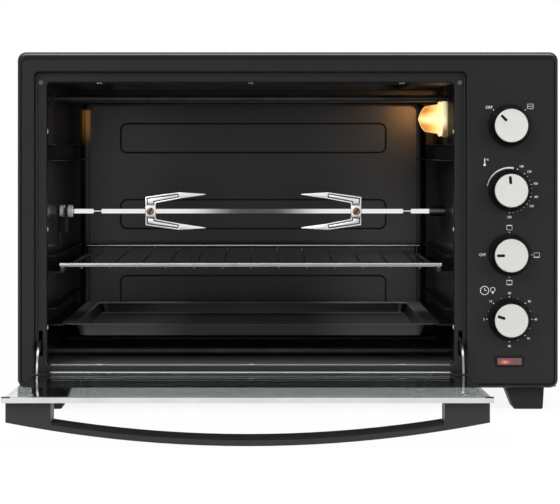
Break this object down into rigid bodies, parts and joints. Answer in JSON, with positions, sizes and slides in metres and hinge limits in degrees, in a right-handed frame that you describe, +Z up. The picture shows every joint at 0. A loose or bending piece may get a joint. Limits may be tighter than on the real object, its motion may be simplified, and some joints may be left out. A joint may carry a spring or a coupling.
{
  "type": "rotisserie oven",
  "caption": "Counter-top rotisserie oven with a drop-down glass door, turning spit with forks, wire rack, baking tray, lamp and a column of control knobs beside the opening.",
  "frame": {"origin": "on the floor, below the middle of the whole outline with the door open", "axes": "+Z up, -Y out of the front of the oven, +X towards the control panel"},
  "size_m": [0.5704, 0.7575, 0.3764],
  "materials": {
    "case_paint": "satin charcoal black baked paint",
    "dark_enamel": "glossy black enamel",
    "grey_enamel": "semi-gloss dark grey enamel",
    "galvanised": "plain zinc-coated sheet",
    "chrome": "bright plated",
    "zinc_screw": "plain zinc",
    "brown_screw": "heat-browned steel",
    "heater_tube": "dull oxidised steel",
    "ceramic": "matt white ceramic",
    "door_glass": "clear grey-green toughened glass",
    "lamp_glass": "clear heat-proof glass lit from within",
    "lamp_bulb": "lit filament bulb",
    "bright_trim": "satin anodised",
    "black_plastic": "fine matt black",
    "silver_plastic": "satin silver",
    "grey_rubber": "matt grey silicone",
    "foot_rubber": "matt black",
    "red_lens": "translucent red, lit",
    "switch_body": "moulded phenolic",
    "shaft_steel": "turned steel"
  },
  "bodies": {
    "oven": {"front_frame": "case_paint", "outer_wrap": "case_paint", "rear_cover": "galvanised", "base_plate": "galvanised", "feet": "foot_rubber", "case_screws": "zinc_screw", "cord_gland": "black_plastic", "liner_left_wall": "dark_enamel", "liner_right_wall": "dark_enamel", "liner_roof": "dark_enamel", "liner_floor": "dark_enamel", "liner_back": "grey_enamel", "shelf_rails": "dark_enamel", "frame_rivets": "zinc_screw", "door_buffers": "grey_rubber", "upper_elements": "heater_tube", "lower_elements": "heater_tube", "element_insulators": "ceramic", "lamp_ring": "zinc_screw", "lamp_glass": "lamp_glass", "lamp_bulb": "lamp_bulb", "lamp_socket": "ceramic", "spit_support": "dark_enamel", "spit_motor": "galvanised", "door_springs": "shaft_steel", "indicator_body": "black_plastic", "indicator_lens": "red_lens", "rotisserie_switch": "switch_body", "thermostat": "switch_body", "function_switch": "switch_body", "timer": "switch_body"},
    "door": {"door_glass": "door_glass", "door_trim": "bright_trim", "trim_end_caps": "black_plastic", "door_bottom_rail": "bright_trim", "hinge_brackets": "black_plastic", "hinge_arms": "chrome", "door_handle": "black_plastic", "handle_screws": "zinc_screw"},
    "spit": {"spit_rod": "chrome", "spit_bush": "chrome", "drive_socket": "shaft_steel"},
    "left_fork": {"left_fork": "chrome"},
    "right_fork": {"right_fork": "chrome"},
    "left_fork_screw": {"left_fork_screw": "brown_screw"},
    "right_fork_screw": {"right_fork_screw": "brown_screw"},
    "rack": {"wire_rack": "chrome"},
    "tray": {"baking_tray": "dark_enamel"},
    "rotisserie_control": {"rotisserie_knob": "black_plastic", "rotisserie_knob_cap": "silver_plastic", "rotisserie_shaft": "shaft_steel"},
    "thermostat_control": {"thermostat_knob": "black_plastic", "thermostat_knob_cap": "silver_plastic", "thermostat_shaft": "shaft_steel"},
    "function_control": {"function_knob": "black_plastic", "function_knob_cap": "silver_plastic", "function_shaft": "shaft_steel"},
    "timer_control": {"timer_knob": "black_plastic", "timer_knob_cap": "silver_plastic", "timer_shaft": "shaft_steel"}
  },
  "joints": [
    {"name": "door_swing", "type": "hinge", "parent": "oven", "child": "door", "pos_m": [0, -0.06378, 0.0376], "axis": [-1, 0, 0], "range_deg": [0, 88.8]},
    {"name": "rotisserie_turn", "type": "hinge", "parent": "oven", "child": "rotisserie_control", "pos_m": [0.2326, -0.06728, 0.299], "axis": [0, 1, 0], "range_deg": [0, 90]},
    {"name": "thermostat_turn", "type": "hinge", "parent": "oven", "child": "thermostat_control", "pos_m": [0.2326, -0.06728, 0.2313], "axis": [0, 1, 0], "range_deg": [-84, 186]},
    {"name": "function_turn", "type": "hinge", "parent": "oven", "child": "function_control", "pos_m": [0.2326, -0.06728, 0.1636], "axis": [0, 1, 0], "range_deg": [0, 270]},
    {"name": "timer_turn", "type": "hinge", "parent": "oven", "child": "timer_control", "pos_m": [0.2326, -0.06728, 0.0959], "axis": [0, 1, 0], "range_deg": [-18, 252]},
    {"name": "spit_turn", "type": "hinge", "parent": "oven", "child": "spit", "pos_m": [-0.0392, 0.11272, 0.2047], "axis": [1, 0, 0], "continuous": true},
    {"name": "left_fork_slide", "type": "slide", "parent": "spit", "child": "left_fork", "axis": [1, 0, 0], "range_m": [-0.03, 0.04]},
    {"name": "right_fork_slide", "type": "slide", "parent": "spit", "child": "right_fork", "axis": [1, 0, 0], "range_m": [-0.04, 0.03]},
    {"name": "left_screw_turn", "type": "hinge", "parent": "left_fork", "child": "left_fork_screw", "pos_m": [-0.1533, 0.10272, 0.2047], "axis": [0, 1, 0], "range_deg": [-360, 0]},
    {"name": "right_screw_turn", "type": "hinge", "parent": "right_fork", "child": "right_fork_screw", "pos_m": [0.0784, 0.10272, 0.2047], "axis": [0, 1, 0], "range_deg": [-360, 0]},
    {"name": "rack_slide", "type": "slide", "parent": "oven", "child": "rack", "axis": [0, 1, 0], "range_m": [-0.3, 0]},
    {"name": "tray_slide", "type": "slide", "parent": "oven", "child": "tray", "axis": [0, 1, 0], "range_m": [-0.3, 0]}
  ]
}
